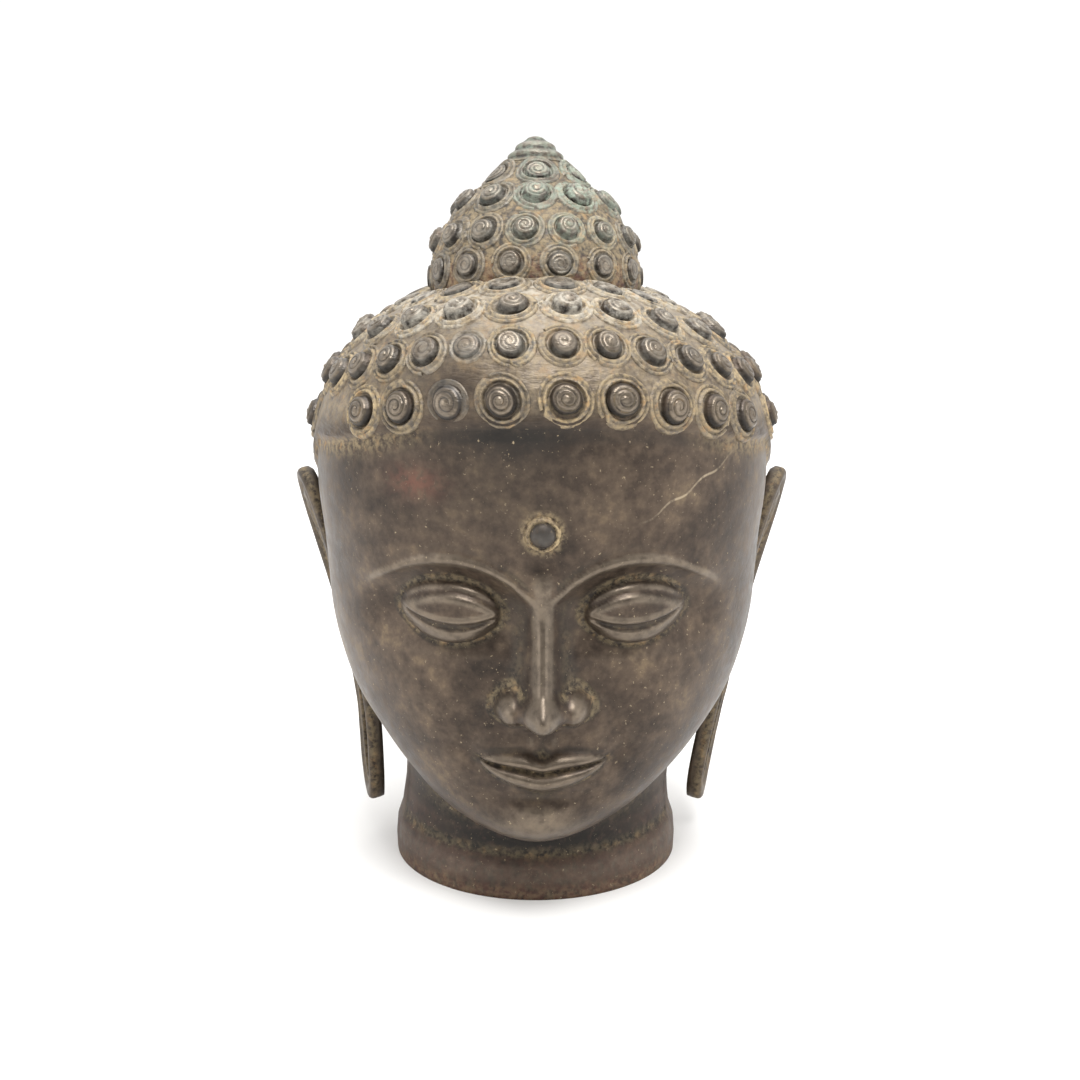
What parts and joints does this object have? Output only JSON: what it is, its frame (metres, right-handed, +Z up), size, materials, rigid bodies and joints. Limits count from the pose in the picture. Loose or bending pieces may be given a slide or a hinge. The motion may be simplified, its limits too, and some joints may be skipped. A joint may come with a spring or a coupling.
{
  "type": "bronze buddha head",
  "caption": "Cast bronze head with a calm face, snail curls, a crown bump with a ringed finial, long slit ear lobes and a flared neck that it stands on.",
  "frame": {"origin": "centre of the neck's flat underside, which the head stands on", "axes": "+Z up to the finial, -Y out of the face, +X to the right of someone who looks at the face"},
  "size_m": [0.237, 0.2387, 0.34],
  "materials": {
    "bronze": "patinated"
  },
  "bodies": {
    "root": {"buddha_head": "bronze"}
  },
  "joints": []
}
